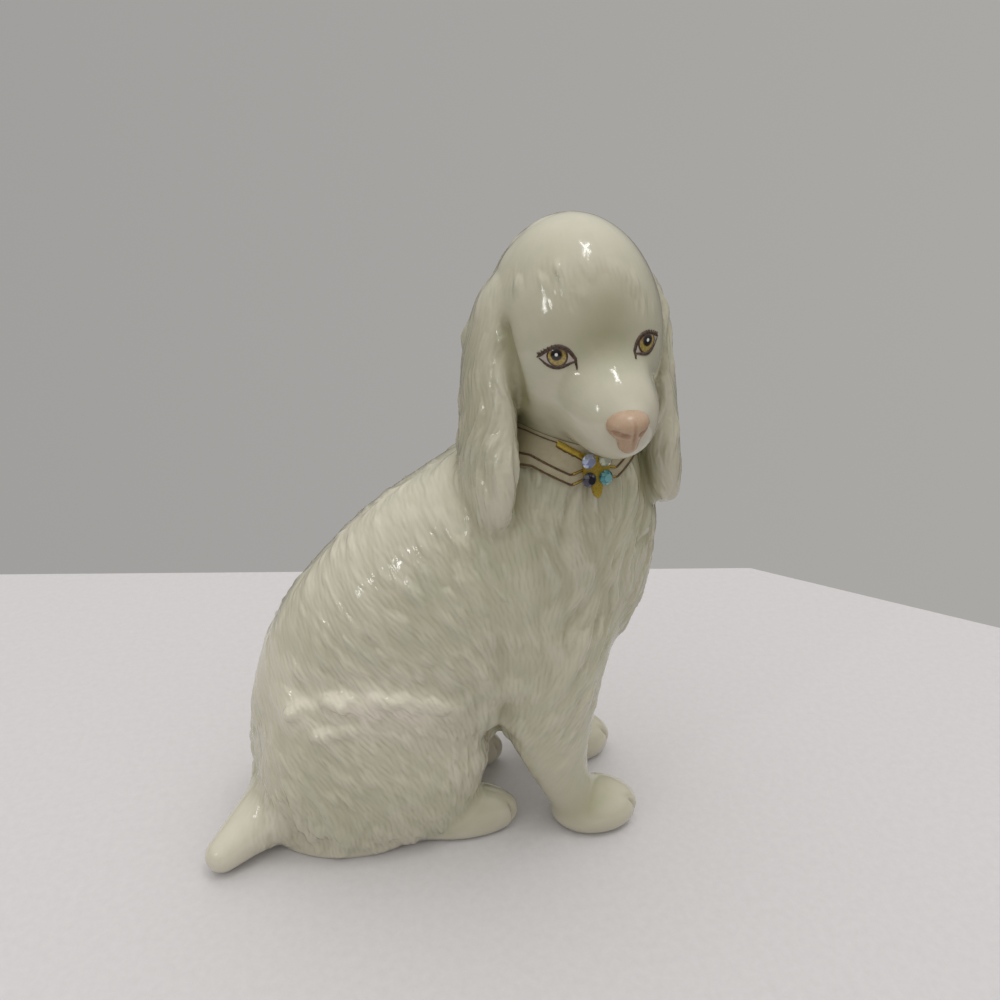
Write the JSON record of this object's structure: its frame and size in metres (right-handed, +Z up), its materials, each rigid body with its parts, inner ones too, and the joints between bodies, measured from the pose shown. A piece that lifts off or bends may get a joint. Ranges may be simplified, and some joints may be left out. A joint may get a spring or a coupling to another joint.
{
  "type": "porcelain spaniel figure",
  "caption": "Glazed ivory porcelain figure of a seated spaniel with its head turned, long ears, painted eyes and a gilded collar set with small stones.",
  "frame": {"origin": "on the table plane under the body, on the dog's midline and under its belly, inside the flat base face", "axes": "+Z up from the table, +X forward along the dog's body, +Y to the dog's left"},
  "size_m": [0.1123, 0.0576, 0.1451],
  "materials": {
    "glaze": "glossy clear glaze over ivory porcelain",
    "collar_glaze": "glossy cream glaze",
    "gold": "bright fired gold",
    "adhesive": "clear jeweller's adhesive",
    "clear_stone": "faceted clear crystal with a blue lustre and foil back",
    "pale_stone": "faceted pale crystal with foil back",
    "sapphire_stone": "faceted dark sapphire crystal with foil back",
    "aqua_stone": "faceted aqua crystal with foil back",
    "eye_enamel": "glossy painted enamel",
    "nose_enamel": "glossy painted enamel"
  },
  "bodies": {
    "root": {"body_casting": "glaze", "head_casting": "glaze", "right_foreleg": "glaze", "left_foreleg": "glaze", "right_hind_foot": "glaze", "left_hind_foot": "glaze", "tail": "glaze", "right_ear": "glaze", "left_ear": "glaze", "collar_band": "collar_glaze", "collar_upper_gold_line": "gold", "collar_lower_gold_line": "gold", "collar_inner_gold_line": "gold", "gilded_pendant": "gold", "stone_adhesive": "adhesive", "upper_right_stone": "clear_stone", "upper_left_stone": "pale_stone", "lower_right_stone": "sapphire_stone", "lower_left_stone": "aqua_stone", "right_eye_enamel": "eye_enamel", "left_eye_enamel": "eye_enamel", "nose_enamel": "nose_enamel"}
  },
  "joints": []
}
